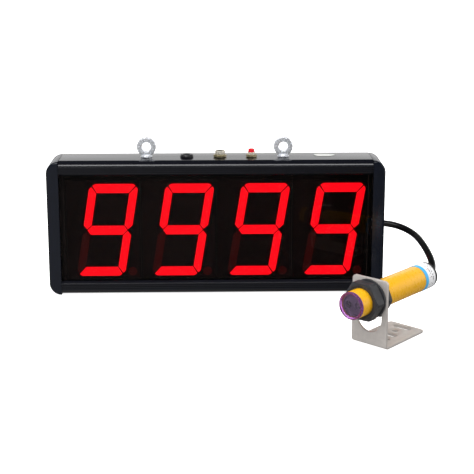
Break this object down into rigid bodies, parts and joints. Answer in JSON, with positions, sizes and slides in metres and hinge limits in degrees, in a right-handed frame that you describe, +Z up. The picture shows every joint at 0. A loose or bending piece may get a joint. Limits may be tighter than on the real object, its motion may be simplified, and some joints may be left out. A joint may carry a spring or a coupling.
{
  "type": "round timer display",
  "caption": "Wide digital round timer and counter display in a dark metal frame, with eye bolts, sockets and a push button on top and a barrel sensor on an angle bracket.",
  "frame": {"origin": "centre of the display housing's underside, on the surface it stands on", "axes": "+X to the display's right as seen from its front, -Y out of the digits, +Z up"},
  "size_m": [0.3027, 0.1765, 0.1263],
  "materials": {
    "anodised_aluminium": "black anodised, satin",
    "moulded_black": "fine moulded grain",
    "plated_steel": "bright zinc plating",
    "smoked_window": "polished dark tinted acrylic",
    "digit_face": "diffusing resin, lit red",
    "digit_housing": "matt black",
    "circuit_board": "green solder mask",
    "chip_black": "matt black",
    "nickel": "bright nickel plating",
    "brass": "plated brass, slightly dull",
    "red_plastic": "glossy red",
    "white_film": "matt printed film",
    "bracket_steel": "satin stainless",
    "yellow_plastic": "glossy yellow ABS",
    "purple_lens": "dark purple filter, polished",
    "amber_lens": "amber indicator",
    "lead_jacket": "black PVC jacket"
  },
  "bodies": {
    "housing": {"bottom_rail": "anodised_aluminium", "button_bush": "nickel", "button_nut": "brass", "buzzer": "moulded_black", "control_chip": "chip_black", "digit_face_1": "digit_face", "digit_face_2": "digit_face", "digit_face_3": "digit_face", "digit_face_4": "digit_face", "digit_module_1": "digit_housing", "digit_module_2": "digit_housing", "digit_module_3": "digit_housing", "digit_module_4": "digit_housing", "display_board": "circuit_board", "end_screw_left_1": "plated_steel", "end_screw_left_2": "plated_steel", "end_screw_left_3": "plated_steel", "end_screw_left_4": "plated_steel", "end_screw_right_1": "plated_steel", "end_screw_right_2": "plated_steel", "end_screw_right_3": "plated_steel", "end_screw_right_4": "plated_steel", "eye_bolt_nut_left": "plated_steel", "eye_bolt_nut_right": "plated_steel", "front_window": "smoked_window", "lead_grommet": "moulded_black", "left_end_cap": "moulded_black", "power_jack": "moulded_black", "power_jack_nut": "moulded_black", "power_jack_pin": "nickel", "radio_board": "circuit_board", "rear_panel": "anodised_aluminium", "right_end_cap": "moulded_black", "sensor_bracket": "bracket_steel", "sensor_lead": "lead_jacket", "top_label": "white_film", "top_rail": "anodised_aluminium", "trigger_socket": "nickel", "trigger_socket_contact": "brass", "trigger_socket_insulator": "moulded_black", "trigger_socket_nut": "brass", "voltage_regulator": "chip_black"},
    "eye_bolt_left": {"eye_bolt_left": "plated_steel"},
    "eye_bolt_right": {"eye_bolt_right": "plated_steel"},
    "reset_button": {"button_cap": "red_plastic"},
    "sensor": {"sensor_barrel": "yellow_plastic", "sensor_lens": "purple_lens", "sensor_insert": "chip_black", "sensor_board": "circuit_board", "sensor_label_sleeve": "white_film", "sensor_rear_cap": "chip_black", "sensor_gland": "moulded_black", "sensor_indicator": "amber_lens", "front_washer": "moulded_black"},
    "front_nut": {"front_nut": "moulded_black"},
    "rear_nut": {"rear_nut": "moulded_black"},
    "sensitivity_screw": {"sensitivity_screw": "brass"}
  },
  "joints": [
    {"name": "button_press", "type": "slide", "parent": "housing", "child": "reset_button", "axis": [0, 0, -1], "range_m": [0, 0.0015], "stiffness_N_per_m": 200, "springref_m": -0.001},
    {"name": "eye_bolt_left_turn", "type": "hinge", "parent": "housing", "child": "eye_bolt_left", "pos_m": [-0.056, 0.00125, 0.11], "axis": [0, 0, 1], "continuous": true},
    {"name": "eye_bolt_right_turn", "type": "hinge", "parent": "housing", "child": "eye_bolt_right", "pos_m": [0.0542, 0.00125, 0.11], "axis": [0, 0, 1], "continuous": true},
    {"name": "sensor_height", "type": "slide", "parent": "housing", "child": "sensor", "axis": [0, 0, -1], "range_m": [0, 0.0148], "deforming": ["sensor_lead"]},
    {"name": "front_nut_turn", "type": "hinge", "parent": "sensor", "child": "front_nut", "pos_m": [0.1027, -0.14035, 0.0355], "axis": [0.682, 0.7314, 0], "continuous": true},
    {"name": "rear_nut_turn", "type": "hinge", "parent": "sensor", "child": "rear_nut", "pos_m": [0.11088, -0.13157, 0.0355], "axis": [0.682, 0.7314, 0], "continuous": true},
    {"name": "sensitivity_turn", "type": "hinge", "parent": "sensor", "child": "sensitivity_screw", "pos_m": [0.1612, -0.08552, 0.0379], "axis": [0.682, 0.7314, 0], "range_deg": [-135, 135]}
  ]
}
